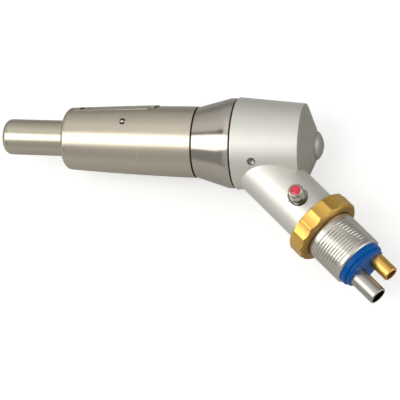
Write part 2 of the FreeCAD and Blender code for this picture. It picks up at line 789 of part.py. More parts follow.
def make_air_tube(diameter, bore, offset, end):
    """Seated tube with a shallow groove, where the gasket's lip holds on."""
    radius = diameter / 2
    floor = radius - tube_groove_depth
    groove_start = tube_groove_end - tube_groove_length
    outline = [(tube_seat, bore / 2), (tube_seat, radius), (groove_start, radius), (groove_start, floor)]
    outline += [(tube_groove_end, floor), (tube_groove_end, radius), (end - tube_end_round, radius)]
    outline += [(end, radius - tube_end_round), (end, bore / 2)]
    shape = turned(outline)
    shape.translate(Vector(0, offset, 0))
    return on_neck(shape)


def build():
    """Every named piece of the motor."""
    bearings = {
        "front": ball_bearing(front_bearing_start, front_bearing_width, front_bearing_diameter,
                              shaft_front_diameter, front_ball_diameter),
        "middle": ball_bearing(main_bearing_start, main_bearing_width, main_bearing_diameter,
                               shaft_diameter, main_ball_diameter),
        "rear": ball_bearing(rear_bearing_start, main_bearing_width, main_bearing_diameter,
                             shaft_diameter, main_ball_diameter),
    }
    pieces = {
        "front_housing": make_front_housing(),
        "front_spigot": make_front_spigot(),
        "front_bearing_retainer": make_front_retainer(),
        "catch_lever": make_catch_lever(),
        "lever_pin": make_lever_pin(),
        "catch_ball": make_catch_ball(),
        "lever_spring": make_lever_spring(),
        "front_seam_ring": make_seam_ring(body_length, ring_front_diameter),
        "control_ring": make_control_ring(),
        "rear_seam_ring": make_seam_ring(ring_end + slide_gap, ring_rear_diameter),
        "front_end_plate": make_end_plate(motor_bore_start, liner_start, main_bearing_start),
        "cylinder_liner": make_liner(),
        "rear_end_plate": make_end_plate(liner_end, liner_end + rear_plate_thickness, rear_bearing_start),
        "cartridge_lock_ring": make_lock_ring(),
        "rotor": make_rotor(),
        "rotor_vanes": make_vanes(),
        "drive_shaft": make_drive_shaft(),
        "drive_dog": make_drive_dog(),
        "rear_housing": make_rear_housing(),
        "rear_cap": make_rear_cap(),
        "head_set_screw": make_set_screw(),
        "valve_sleeve": make_valve_sleeve(),
        "reverse_spool": make_spool(),
        "reverse_button_inlay": make_inlay(),
        "spool_o_rings": make_spool_rings(),
        "gland_nut": make_gland_nut(),
        "hose_connector": make_connector(),
        "connector_circlip": make_circlip(),
        "connector_o_ring": make_stem_ring(),
        "connector_gasket": make_gasket(),
        "exhaust_tube": make_air_tube(exhaust_tube_diameter, exhaust_tube_bore, exhaust_tube_offset,
                                      exhaust_tube_end),
        "drive_air_tube": make_air_tube(drive_tube_diameter, drive_tube_bore, drive_tube_offset,
                                        drive_tube_end),
    }
    for place, (outer, inner, balls, cage) in bearings.items():
        pieces[place + "_bearing_outer"] = outer
        pieces[place + "_bearing_inner"] = inner
        pieces[place + "_bearing_balls"] = balls
        pieces[place + "_bearing_cage"] = cage
    return pieces


os.makedirs("parts", exist_ok=True)
for name, shape in build().items():
    shape.exportStep("parts/" + name + ".step")
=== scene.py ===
import json
from math import cos, pi, radians, sin, tan

import bpy
import bmesh
from mathutils import Matrix, Vector


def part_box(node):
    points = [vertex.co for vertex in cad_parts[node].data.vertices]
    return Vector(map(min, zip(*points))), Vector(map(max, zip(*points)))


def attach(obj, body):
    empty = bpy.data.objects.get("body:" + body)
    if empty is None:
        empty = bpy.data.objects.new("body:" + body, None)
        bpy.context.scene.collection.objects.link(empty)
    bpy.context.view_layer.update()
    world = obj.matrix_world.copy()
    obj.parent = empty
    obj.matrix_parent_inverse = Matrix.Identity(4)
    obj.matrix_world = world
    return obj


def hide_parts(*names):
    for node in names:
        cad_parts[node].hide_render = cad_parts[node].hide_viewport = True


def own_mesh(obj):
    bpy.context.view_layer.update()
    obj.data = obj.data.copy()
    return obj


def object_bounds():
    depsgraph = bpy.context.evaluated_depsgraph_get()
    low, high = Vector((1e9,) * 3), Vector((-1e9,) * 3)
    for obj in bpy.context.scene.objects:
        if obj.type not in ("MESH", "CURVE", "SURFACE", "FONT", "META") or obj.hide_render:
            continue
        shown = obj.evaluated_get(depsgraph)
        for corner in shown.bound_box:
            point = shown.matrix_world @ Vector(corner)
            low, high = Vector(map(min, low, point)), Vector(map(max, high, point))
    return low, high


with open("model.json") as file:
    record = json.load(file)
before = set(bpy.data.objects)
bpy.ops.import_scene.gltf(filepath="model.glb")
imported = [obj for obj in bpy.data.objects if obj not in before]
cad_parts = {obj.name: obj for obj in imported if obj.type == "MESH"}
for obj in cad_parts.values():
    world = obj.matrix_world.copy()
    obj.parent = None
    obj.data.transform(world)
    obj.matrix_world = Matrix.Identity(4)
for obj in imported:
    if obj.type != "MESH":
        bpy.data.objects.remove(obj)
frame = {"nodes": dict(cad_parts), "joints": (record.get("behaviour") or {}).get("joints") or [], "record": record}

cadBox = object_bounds()
nodes = frame["nodes"]
jointNamed = {joint["name"]: joint for joint in frame["joints"]}

mm = 0.001
scene = bpy.context.scene

# The two axes of the part, read from the frame: the motor's own and the angled neck's.
mainAxis = Vector((1, 0, 0))
neckAxis = Vector(jointNamed["connector_swivel"]["axis"]).normalized()
swivelPlace = Vector(jointNamed["connector_swivel"]["pos_m"])
bendPoint = Vector((swivelPlace.x - neckAxis.x / neckAxis.y * swivelPlace.y, 0, 0))
acrossNeck = Vector((-neckAxis.y, neckAxis.x, 0))
upward = Vector((0, 0, 1))
mainLine = (Vector((0, 0, 0)), mainAxis)  # an axis is a point and a direction
neckLine = (bendPoint, neckAxis)


def neckPlace(station, across=0.0, height=0.0):  # millimetres along, across and above the neck's axis
    return bendPoint + (neckAxis * station + acrossNeck * across + upward * height) * mm


def turnTo(first, second, third):  # the turn that takes X, Y and Z to three directions
    return Matrix((first, second, third)).transposed().to_4x4()


def spokeFrom(line, spot):  # from an axis straight out to a spot
    point, direction = line
    spoke = spot - point
    return spoke - direction * spoke.dot(direction)


neckFrame = Matrix.Translation(bendPoint) @ turnTo(neckAxis, acrossNeck, upward)


# Mesh helpers

onAxis = 1e-6  # metres; what is nearer to an axis than this lies on it

# How a CAD solid's mesh is read: lengths in mm, angles in degrees, slopes as cosines.
meshRules = {"mergeWithin": 0.0002, "outerEdge": 30, "roundSteps": 3, "roundFace": 0.12, "endFace": 0.9995,
             "smoothWithin": 28, "leastWeight": 1e-9, "sideFace": 0.5, "onProfile": 0.02, "slopeStep": 0.1}


def settle(piece):  # makes the modifiers' result the piece's own plain mesh
    bpy.context.view_layer.update()
    finished = bpy.data.meshes.new_from_object(piece.evaluated_get(bpy.context.evaluated_depsgraph_get()))
    piece.modifiers.clear()
    old = piece.data
    piece.data = finished
    finished.name = piece.name
    bpy.data.meshes.remove(old)


def newPiece(name, mesh):
    mesh.name = name
    piece = bpy.data.objects.new(name, mesh)
    scene.collection.objects.link(piece)
    return piece


def smoothUpTo(piece, angle=32):
    piece.data.shade_smooth()
    piece.data.set_sharp_from_angle(angle=radians(angle))


def dress(piece, body, material, replaced):
    piece.data.materials.clear()
    for one in material if isinstance(material, list) else [material]:
        piece.data.materials.append(one)
    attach(piece, body)
    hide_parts(*replaced)


def roundedOutline(corners, steps=4):
    # corners are (along, radius, rounding) in mm; each rounded corner becomes a short arc
    points = []
    for index, corner in enumerate(corners):
        here = Vector(corner[:2])
        rounding = corner[2] if len(corner) > 2 else 0.0
        if rounding <= 0:
            points.append(here)
            continue
        before = (Vector(corners[index - 1][:2]) - here).normalized()
        after = (Vector(corners[(index + 1) % len(corners)][:2]) - here).normalized()
        reach = rounding / max(0.2, abs(tan(before.angle(after) / 2)))  # a needle corner keeps a short arc
        start = here + before * reach
        end = here + after * reach
        for step in range(steps + 1):
            share = step / steps
            points.append(start * (1 - share) ** 2 + here * 2 * share * (1 - share) + end * share ** 2)
    return points


def turnedPiece(name, outline, place=Matrix.Identity(4), segments=128):
    # revolves an outline of (along, radius) points in mm; points on the axis become poles
    body = bmesh.new()
    rings = []
    for along, radius in outline:
        spokes = range(segments if radius * mm > onAxis else 1)
        angles = [2 * pi * index / segments for index in spokes]
        rings.append([body.verts.new((along * mm, radius * cos(angle) * mm, radius * sin(angle) * mm))
                      for angle in angles])
    pairs = list(zip(rings, rings[1:]))
    if len(rings[0]) > 1 and len(rings[-1]) > 1:
        pairs.append((rings[-1], rings[0]))
    for one, other in pairs:
        if len(one) == 1 and len(other) == 1:
            continue
        for index in range(segments):
            following = (index + 1) % segments
            corners = [one[index % len(one)], one[following % len(one)],
                       other[following % len(other)], other[index % len(other)]]
            kept = [corner for number, corner in enumerate(corners) if corner not in corners[:number]]
            body.faces.new(kept)
    bmesh.ops.recalc_face_normals(body, faces=body.faces)
    mesh = bpy.data.meshes.new(name)
    body.to_mesh(mesh)
    body.free()
    mesh.transform(place)
    piece = newPiece(name, mesh)
    smoothUpTo(piece)
    return piece


def roundFacing(face, lines):
    # the axis that a face was turned round, if any, and its normal as (along the axis, away from it)
    for line in lines:
        spoke = spokeFrom(line, face.center)
        if spoke.length < onAxis:
            continue
        spoke.normalize()
        lengthwise = face.normal.dot(line[1])
        sideways = face.normal.dot(line[1].cross(spoke))
        if abs(sideways) < meshRules["roundFace"] and abs(lengthwise) < meshRules["endFace"]:
            return line, Vector((lengthwise, face.normal.dot(spoke), 0))
    return None, face.normal.copy()


def cornerNormals(mesh, lines, profile):
    # one normal for each corner of each face, as on the smooth surfaces that the facets stand for
    facing = [roundFacing(face, lines) for face in mesh.polygons]
    around = [[] for _ in mesh.vertices]
    for face in mesh.polygons:
        for number, vertex in enumerate(face.vertices):
            here = mesh.vertices[vertex].co
            before = mesh.vertices[face.vertices[number - 1]].co - here
            after = mesh.vertices[face.vertices[(number + 1) % len(face.vertices)]].co - here
            weight = before.angle(after, 0.0) * face.area  # slivers count for little
            around[vertex].append((face.index, weight))
    limit = cos(radians(meshRules["smoothWithin"]))
    step = meshRules["slopeStep"] * mm
    normals = []
    for face in mesh.polygons:
        line, own = facing[face.index]
        own = own.normalized()
        corners = [mesh.vertices[vertex].co for vertex in face.vertices]
        outwards = Vector((0, face.center.y, face.center.z)).normalized()
        if profile and face.normal.dot(outwards) > meshRules["sideFace"] and all(
                abs(spot.yz.length - profile(spot.x)) < meshRules["onProfile"] * mm for spot in corners):
            for spot in corners:
                slope = (profile(spot.x + step) - profile(spot.x - step)) / (2 * step)
                normals.append(Vector((-slope * spot.yz.length, spot.y, spot.z)).normalized())
            continue
        for vertex, spot in zip(face.vertices, corners):
            total = Vector((0, 0, 0))
            for neighbour, weight in around[vertex]:
                otherLine, otherNormal = facing[neighbour]
                if otherLine == line and own.dot(otherNormal.normalized()) > limit:
                    total += otherNormal.normalized() * weight
            total = total.normalized() if total.length > meshRules["leastWeight"] else own
            if line:
                spoke = spokeFrom(line, spot)
                onLine = spoke.length < onAxis
                total = face.normal if onLine else line[1] * total.x + spoke.normalized() * total.y
            normals.append(total.normalized())
    return normals


def cadCopy(name, nodeName, lines, rounding=0.0, chosen=None, profile=None):
    # The CAD solid's own mesh, merged, with its chosen outer edges broken by a small round, and with normals
    # worked out as on the round surfaces that it was turned from. profile gives the radius at a station on
    # the main axis, for a long curved side whose slope is better taken from the rule than from its facets.
    mesh = nodes[nodeName].data.copy()
    mergeWithin = meshRules["mergeWithin"] * mm
    merge = bmesh.new()
    merge.from_mesh(mesh)
    bmesh.ops.remove_doubles(merge, verts=merge.verts, dist=mergeWithin)
    if rounding:
        edges = [edge for edge in merge.edges if len(edge.link_faces) == 2
                 and edge.calc_face_angle_signed(0.0) > radians(meshRules["outerEdge"])
                 and chosen((edge.verts[0].co + edge.verts[1].co) / 2)]
        bmesh.ops.bevel(merge, geom=edges, offset=rounding * mm, segments=meshRules["roundSteps"],
                        profile=0.5, affect="EDGES", clamp_overlap=True)
        bmesh.ops.remove_doubles(merge, verts=merge.verts, dist=mergeWithin)
    merge.to_mesh(mesh)
    merge.free()
    piece = newPiece(name, mesh)
    mesh.shade_smooth()
    mesh.normals_split_custom_set(cornerNormals(mesh, lines, profile))
    return piece


# Material helpers

def linear(hexColour):  # sRGB hex to the shader's linear colour
    channels = []
    for start in (1, 3, 5):
        value = int(hexColour[start:start + 2], 16) / 255
        channels.append(value / 12.92 if value <= 0.04045 else ((value + 0.055) / 1.055) ** 2.4)
    return (*channels, 1.0)


def addNode(tree, kind, inputs=None, **settings):
    node = tree.nodes.new(kind)
    for name, value in settings.items():
        setattr(node, name, value)
    for name, value in (inputs or {}).items():
        if isinstance(value, bpy.types.Node):  # stands for its first output in use
            value = next(output for output in value.outputs if output.enabled)
        if isinstance(value, bpy.types.NodeSocket):
            tree.links.new(value, node.inputs[name])
        else:
            node.inputs[name].default_value = value
    return node


def startMaterial(name, values):
    # values holds what is the same all over the surface, by the shader's own socket names
    material = bpy.data.materials.new(name)
    material.use_nodes = True
    tree = material.node_tree
    shader = tree.nodes["Principled BSDF"]
    for socket, value in values.items():
        shader.inputs[socket].default_value = value
    return material, tree, shader


def finishSurface(tree, shader, look, tone, gloss, relief, depth, width):
    # tone goes from the dark to the light colour, gloss over the roughness, and relief is the bump's height
    tint = addNode(tree, "ShaderNodeMix",
                   {"Factor": tone, "A": linear(look["dark"]), "B": linear(look["light"])}, data_type="RGBA")
    rough = addNode(tree, "ShaderNodeMapRange",
                    {"Value": gloss, "To Min": look["roughness"][0], "To Max": look["roughness"][1]})
    bump = addNode(tree, "ShaderNodeBump", {"Height": relief, "Strength": depth, "Distance": width * mm})
    tree.links.new(tint.outputs["Result"], shader.inputs["Base Color"])
    tree.links.new(rough.outputs[0], shader.inputs["Roughness"])
    tree.links.new(bump.outputs[0], shader.inputs["Normal"])


# What a turned metal is unless its own values say otherwise. Widths and sizes are in mm.
turnedLook = {"dark": "#c4baa8", "light": "#d2c8b6", "roughness": (0.22, 0.3), "stretch": 0.35,
              "ringWidth": 0.05, "coarser": 5, "ringDepth": 0.08, "cloudWidth": 6.0, "cloudShare": 0.45}


def turnedMetal(name, line, changes, film=None):
    # Metal cut on a lathe: hair-fine rings round the axis, which stretch reflections along it.
    look = {**turnedLook, **changes}
    point, direction = line
    material, tree, shader = startMaterial(name, {"Metallic": 1.0, "Anisotropic": look["stretch"],
                                                  **(film or {})})
    place = addNode(tree, "ShaderNodeTexCoord").outputs["Object"]
    fromAxis = addNode(tree, "ShaderNodeVectorMath", {0: place, 1: point}, operation="SUBTRACT")
    along = addNode(tree, "ShaderNodeVectorMath", {0: fromAxis, 1: direction}, operation="DOT_PRODUCT")
    # rings are look["ringWidth"] mm apart on the real piece, and drawn look["coarser"] times as wide to show
    rings = addNode(tree, "ShaderNodeMath",
                    {0: along, 1: 1000 / (look["ringWidth"] * look["coarser"])}, operation="MULTIPLY")
    ringNoise = addNode(tree, "ShaderNodeTexNoise",
                        {"W": rings, "Scale": 1.0, "Detail": 3.0, "Roughness": 0.7}, noise_dimensions="1D")
    cloud = addNode(tree, "ShaderNodeTexNoise",
                    {"Vector": place, "Scale": 1000 / look["cloudWidth"], "Detail": 3.0})
    mixed = addNode(tree, "ShaderNodeMix",
                    {"Factor": look["cloudShare"], "A": ringNoise, "B": cloud}, data_type="FLOAT")
    finishSurface(tree, shader, look, mixed, mixed, ringNoise, look["ringDepth"], look["ringWidth"])
    around = addNode(tree, "ShaderNodeVectorMath", {0: fromAxis, 1: direction}, operation="CROSS_PRODUCT")
    tree.links.new(around.outputs[0], shader.inputs["Tangent"])
    return material


def grainyMetal(name, look):
    # Metal with an even grit and no grain: its reflections spread alike all ways. The grit is
    # look["gritSize"] mm across on the real piece, and drawn look["coarser"] times as wide to show.
    material, tree, shader = startMaterial(name, {"Metallic": 1.0})
    place = addNode(tree, "ShaderNodeTexCoord").outputs["Object"]
    grit = addNode(tree, "ShaderNodeTexNoise",
                   {"Vector": place, "Scale": 1000 / (look["gritSize"] * look["coarser"]), "Detail": 2.0})
    cloud = addNode(tree, "ShaderNodeTexNoise",
                    {"Vector": place, "Scale": 1000 / look["cloudWidth"], "Detail": 3.0, "Roughness": 0.6})
    mixed = addNode(tree, "ShaderNodeMix", {"Factor": 0.5, "A": grit, "B": cloud}, data_type="FLOAT")
    finishSurface(tree, shader, look, mixed, grit, grit, look["gritDepth"], look["gritSize"])
    return material


def mouldedMaterial(name, look, values=None):
    # Rubber, enamel, fibre or plastic: one colour with slight clouding and a faint skin texture.
    material, tree, shader = startMaterial(name, {"Metallic": 0.0, **(values or {})})
    place = addNode(tree, "ShaderNodeTexCoord").outputs["Object"]
    cloud = addNode(tree, "ShaderNodeTexNoise",
                    {"Vector": place, "Scale": 1000 / look["cloudWidth"], "Detail": 4.0})
    skin = addNode(tree, "ShaderNodeTexNoise", {"Vector": place, "Scale": 1000 / look["skinWidth"]})
    finishSurface(tree, shader, look, cloud, cloud, skin, look["skinDepth"], look["skinWidth"])
    return material


valveStation = 21.7  # mm along the neck
valveLine = (neckPlace(valveStation), upward)

# Stainless steel, fine-turned to a satin: warm grey with a soft-edged white band along the piece.
satinSteel = turnedMetal("stainlessSteelSatinTurned", mainLine, {})
# Stainless steel, turned and polished: darker between its reflections, with crisper bands.
polishedSteel = turnedMetal("stainlessSteelPolished", mainLine, {
    "dark": "#bfb7aa", "light": "#cfc7ba", "roughness": (0.13, 0.2), "stretch": 0.25, "ringDepth": 0.09})
# Stainless steel, cylindrically ground: smoother than the body, so its band is narrower and cleaner.
spigotSteel = turnedMetal("stainlessSteelGroundSpigot", mainLine, {
    "dark": "#bcb5a2", "light": "#ccc5b2", "roughness": (0.2, 0.27), "stretch": 0.3, "ringDepth": 0.05})
# Aluminium, turned and left unblasted, with faint mottling and a flatter grey, darker partly as painted shade
# where the cone and cap face away from the softbox.
turnedAluminiumPaintedShade = turnedMetal("aluminiumTurnedPaintedShade", mainLine, {
    "dark": "#a09d93", "light": "#c6c3b9", "roughness": (0.4, 0.5), "stretch": 0.3, "ringDepth": 0.12,
    "cloudWidth": 1.4})
# Aluminium, blasted with fine beads: a pale, even sparkle, bright but never mirror-like.
blastedAluminium = grainyMetal("aluminiumBeadBlasted", {
    "dark": "#e4e2d8", "light": "#efede5", "roughness": (0.48, 0.56), "gritSize": 0.05, "coarser": 4,
    "gritDepth": 0.35, "cloudWidth": 3.0})
# Stainless steel, turned bright and threaded: pale, with a sharp glint on each crest.
neckSteel = turnedMetal("stainlessSteelTurnedThread", neckLine, {
    "dark": "#cac6bb", "light": "#dad6cc", "roughness": (0.26, 0.34), "stretch": 0.25, "ringDepth": 0.05})
# Stainless steel, drawn as tube: a plain shine, nearly without rings.
tubeSteel = turnedMetal("stainlessSteelDrawnTube", neckLine, {
    "dark": "#b4b0a8", "light": "#c4c0b8", "roughness": (0.26, 0.34), "stretch": 0.1, "ringDepth": 0.03})
# Aluminium, anodised gold: a deep yellow that stays metallic, paler where the clear oxide film shines.
goldAnodised = turnedMetal("aluminiumAnodisedGold", neckLine, {
    "dark": "#e4b044", "light": "#f5c862", "roughness": (0.32, 0.4), "stretch": 0.2, "ringDepth": 0.05},
    film={"Coat Weight": 0.5, "Coat IOR": 1.76, "Coat Roughness": 0.25})
# The same metal, rougher, with a browner tone that is painted shade, on the nut's ends and chamfers and in the
# brass tube's bore.
goldRoughPaintedShade = turnedMetal("aluminiumAnodisedGoldRoughPaintedShade", neckLine, {
    "dark": "#b08a48", "light": "#c49c56", "roughness": (0.45, 0.55), "stretch": 0.1, "ringDepth": 0.1})
# Brass, drawn as tube: the steel tube's plain shine in a warm yellow.
goldTube = turnedMetal("brassDrawnTube", neckLine, {
    "dark": "#e8b25a", "light": "#f6c676", "roughness": (0.24, 0.32), "stretch": 0.1, "ringDepth": 0.03})
# Stainless steel, turned bright: the valve bush's rim, which catches the light all round.
brightSteel = turnedMetal("stainlessSteelBrightBush", valveLine, {
    "dark": "#cfccc4", "light": "#dddad3", "roughness": (0.16, 0.24), "stretch": 0.0, "ringDepth": 0.02})
# The button itself, polished harder than the bush round it: it shows the dark and light of the room, and its
# darker base colour is painted shade.
buttonSteelPaintedShade = turnedMetal("stainlessSteelPolishedButtonPaintedShade", valveLine, {
    "dark": "#a8a49a", "light": "#bcb8ae", "roughness": (0.06, 0.12), "stretch": 0.0, "ringDepth": 0.02})
# Steel, turned across its ends: a cool mid grey with fine rings, on the plates and the rotor.
plateSteel = turnedMetal("stainlessSteelFaceTurned", mainLine, {
    "dark": "#8e8e8c", "light": "#a2a2a0", "roughness": (0.25, 0.35)})
# Stainless steel, ground all over: small darkish pins and springs with soft glints.
smallSteel = grainyMetal("stainlessSteelGroundSmall", {
    "dark": "#8f8b82", "light": "#a8a49b", "roughness": (0.22, 0.32), "gritSize": 0.04, "coarser": 3,
    "gritDepth": 0.05, "cloudWidth": 2.0})
# Bearing steel, lapped: bluish and close to a mirror.
bearingSteel = grainyMetal("bearingSteelLapped", {
    "dark": "#b9babb", "light": "#cdcecf", "roughness": (0.08, 0.14), "gritSize": 0.03, "coarser": 3,
    "gritDepth": 0.02, "cloudWidth": 2.0})
# Steel as an end mill leaves it: dull, and darker than the body as painted shade, for slot walls.
milledSteelPaintedShade = grainyMetal("stainlessSteelMilledWallPaintedShade", {
    "dark": "#8c8578", "light": "#a29b8e", "roughness": (0.38, 0.48), "gritSize": 0.06, "coarser": 3,
    "gritDepth": 0.2, "cloudWidth": 1.5})
# Painted shade: steel coloured nearly black with a faint sheen, put in holes, grooves and bores where shade falls.
shadeBlackSteel = grainyMetal("steelPaintedShadeNearBlack", {
    "dark": "#2b2823", "light": "#403c35", "roughness": (0.38, 0.48), "gritSize": 0.05, "coarser": 3,
    "gritDepth": 0.15, "cloudWidth": 0.8})
# Nitrile rubber, moulded: near black with a dull skin.
blackRubber = mouldedMaterial("nitrileRubberMoulded", {
    "dark": "#141311", "light": "#1f1d1a", "roughness": (0.45, 0.6), "cloudWidth": 2.0, "skinWidth": 0.1,
    "skinDepth": 0.1})
# Silicone rubber, moulded in royal blue: soft gloss over a saturated colour.
blueRubber = mouldedMaterial("siliconeRubberMouldedBlue", {
    "dark": "#004690", "light": "#0062ae", "roughness": (0.2, 0.28), "cloudWidth": 3.0, "skinWidth": 0.15,
    "skinDepth": 0.06}, {"Specular IOR Level": 0.12})
# Enamel, filled and polished: a clear red under a wet-looking gloss.
redEnamel = mouldedMaterial("enamelFilledRed", {
    "dark": "#cf2536", "light": "#e2404f", "roughness": (0.1, 0.16), "cloudWidth": 0.8, "skinWidth": 0.3,
    "skinDepth": 0.04}, {"Coat Weight": 0.6, "Coat Roughness": 0.05})
# Linen-reinforced phenolic, sawn into vanes: brown and dull, with cloth flecks.
vaneFibre = mouldedMaterial("phenolicLaminateSawn", {
    "dark": "#4a2c16", "light": "#7a4a26", "roughness": (0.5, 0.65), "cloudWidth": 0.4, "skinWidth": 0.2,
    "skinDepth": 0.3})
# The same resin, moulded into ball cages: a redder brown with a slight gloss.
cagePolymer = mouldedMaterial("phenolicCageMoulded", {
    "dark": "#6b3c1c", "light": "#8a5228", "roughness": (0.4, 0.5), "cloudWidth": 0.6, "skinWidth": 0.1,
    "skinDepth": 0.1})

# Every CAD node gets the material of its own slot; the pieces made below replace the ones that show.
slotMaterial = {
    "body_steel": satinSteel, "spigot_steel": spigotSteel, "lever_steel": satinSteel, "pin_steel": smallSteel,
    "bearing_steel": bearingSteel, "spring_steel": smallSteel, "black_rubber": blackRubber,
    "ring_steel": polishedSteel, "plate_steel": plateSteel, "rotor_steel": plateSteel,
    "vane_fibre": vaneFibre, "head_aluminium": blastedAluminium, "cap_steel": turnedAluminiumPaintedShade,
    "sleeve_steel": brightSteel, "red_enamel": redEnamel, "gold_anodised": goldAnodised,
    "connector_steel": neckSteel, "blue_rubber": blueRubber, "tube_steel": tubeSteel, "gold_tube": goldTube,
    "cage_polymer": cagePolymer,
}
slotOf = {part["node"]: part["material_slot"] for part in frame["record"]["subparts"]}
for nodeName, node in nodes.items():
    node.data.materials.clear()
    node.data.materials.append(slotMaterial[slotOf[nodeName]])
print("materials made:", len(bpy.data.materials))


# Body, lever, spigot, ring and head, on the main axis. Lengths, stations and radii are in mm.

bodyLook = {"length": 30.3, "frontRadius": 6.95, "rearRadius": 7.97, "swell": 0.18}


def bodyRadius(x):  # the swelling side of the body, in metres
    share = x / (bodyLook["length"] * mm)
    straight = bodyLook["frontRadius"] + (bodyLook["rearRadius"] - bodyLook["frontRadius"]) * share
    return (straight + bodyLook["swell"] * (1 - (2 * share - 1) ** 2)) * mm


body = cadCopy("frontBody", "front_housing", [mainLine], profile=bodyRadius)
dress(body, "housing", satinSteel, ["front_housing"])

leverLook = {"topSlope": 0.6, "holesFrom": 2.4, "holesTo": 8.0, "holesAside": 3.2}
leverLean = Vector(jointNamed["lever_press"]["axis"]).normalized()
leverUp = leverLean.cross(mainAxis)
if leverUp.z < 0:
    leverUp.negate()

lever = cadCopy("catchLever", "catch_lever", [mainLine])
dress(lever, "lever", [satinSteel, milledSteelPaintedShade, shadeBlackSteel], ["catch_lever"])
for face in lever.data.polygons:  # the cut sides keep the dull finish of the cutter, darkened as painted shade, and the holes are painted near black as shade
    if face.normal.dot(leverUp) > leverLook["topSlope"]:
        continue
    inHole = (leverLook["holesFrom"] * mm < face.center.x < leverLook["holesTo"] * mm
              and abs(face.center.dot(leverLean)) < leverLook["holesAside"] * mm)
    face.material_index = 2 if inHole else 1


def slottedPiece(name, node, place, rows, top, look):
    # a turned pin or screw with a screwdriver slot across its outer end and a ring of near-black painted shade
    # round that end
    piece = turnedPiece(name, roundedOutline(rows, steps=5), place, segments=64)
    cutterMesh = bpy.data.meshes.new("slotCutter")
    block = bmesh.new()
    bmesh.ops.create_cube(block, size=1.0)
    block.to_mesh(cutterMesh)
    block.free()
    sizes = Vector((look["slotDepth"] * 2, look["slotLength"], look["slotWidth"])) * mm
    cutterMesh.transform(place @ Matrix.Translation((top * mm, 0, 0)) @ Matrix.Diagonal((*sizes, 1)))
    cutter = newPiece("slotCutter", cutterMesh)
    cut = piece.modifiers.new("slot", "BOOLEAN")
    cut.operation = "DIFFERENCE"
    cut.solver = "EXACT"
    cut.object = cutter
    settle(piece)
    bpy.data.objects.remove(cutter)
    smoothUpTo(piece)
    dress(piece, "housing", [smallSteel, shadeBlackSteel], [node])
    back = place.inverted()
    # the faces round the outer end take the near-black painted shade
    for face in piece.data.polygons:
        spot = back @ face.center
        if spot.yz.length > look["paintedShadeOutside"] * mm and spot.x > (top - look["paintedShadeDepth"]) * mm:
            face.material_index = 1


# The lever's pin: its end shows in the body's side, a bright slotted boss in a ring of near-black painted shade.
pinLook = {"halfLength": 6.77, "radius": 0.7, "edge": 0.06, "boss": 0.27, "grooveDepth": 0.3,
           "slotWidth": 0.14, "slotDepth": 0.35, "slotLength": 2.0, "paintedShadeOutside": 0.25, "paintedShadeDepth": 0.8}
pinPlace = Vector(jointNamed["lever_press"]["pos_m"])
pinAcross = leverLean if leverLean.z > 0 else -leverLean
pinFrame = (Matrix.Translation(pinPlace - pinAcross * pinPlace.dot(pinAcross))
            @ turnTo(pinAcross, mainAxis, pinAcross.cross(mainAxis)))
pinEnd = pinLook["halfLength"]
pinGroove = pinEnd - pinLook["grooveDepth"]
pinRows = [(-pinEnd, 0.0), (-pinEnd, pinLook["radius"], pinLook["edge"]), (pinGroove, pinLook["radius"]),
           (pinGroove, pinLook["boss"]), (pinEnd, pinLook["boss"], pinLook["edge"]), (pinEnd, 0.0)]
slottedPiece("leverPin", "lever_pin", pinFrame, pinRows, pinEnd, pinLook)

# The head's set screw: dished, so that its upper half is dark and its lower half catches the light.
screwLook = {"radius": 0.875, "edge": 0.05, "rim": 0.76, "rimEdge": 0.03, "dish": 0.52, "slotWidth": 0.24,
             "slotDepth": 0.6, "slotLength": 4.0, "length": 3.0, "footEdge": 0.1, "paintedShadeOutside": 0.78,
             "paintedShadeDepth": 1.0}
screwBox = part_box("head_set_screw")
screwCentre = (screwBox[0] + screwBox[1]) / 2
screwOut = Vector((0, screwCentre.y, screwCentre.z)).normalized()
screwFrame = (Matrix.Translation((screwCentre.x, 0, 0))
              @ turnTo(screwOut, mainAxis, screwOut.cross(mainAxis)))
intoScrew = screwFrame.inverted()
screwTop = max((intoScrew @ vertex.co).x for vertex in nodes["head_set_screw"].data.vertices) / mm
screwFoot = screwTop - screwLook["length"]
screwRows = [(screwFoot, 0.0), (screwFoot, screwLook["radius"], screwLook["footEdge"]),
             (screwTop, screwLook["radius"], screwLook["edge"]),
             (screwTop, screwLook["rim"], screwLook["rimEdge"]), (screwTop - screwLook["dish"], 0.0)]
slottedPiece("headSetScrew", "head_set_screw", screwFrame, screwRows, screwTop, screwLook)

# Coil spring under the lever's rear end, which on the real part shortens as the lever's front end lifts; here its
# foot is found and it gets a mesh of its own.
spring = cadCopy("leverSpring", "lever_spring", [])
heights = [vertex.co.dot(leverUp) for vertex in spring.data.vertices]
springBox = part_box("lever_spring")
springFoot = (springBox[0] + springBox[1]) / 2
springFoot += leverUp * (min(heights) - springFoot.dot(leverUp))
dress(spring, "housing", smallSteel, ["lever_spring"])
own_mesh(spring)

spigot = cadCopy("driveSpigot", "front_spigot", [mainLine])
dress(spigot, "housing", spigotSteel, ["front_spigot"])

ringLook = {"edge": 0.07, "edgesOutside": 7.5}
ring = cadCopy("controlRing", "control_ring", [mainLine], ringLook["edge"],
               lambda point: point.yz.length > ringLook["edgesOutside"] * mm)
dress(ring, "control_ring", polishedSteel, ["control_ring"])

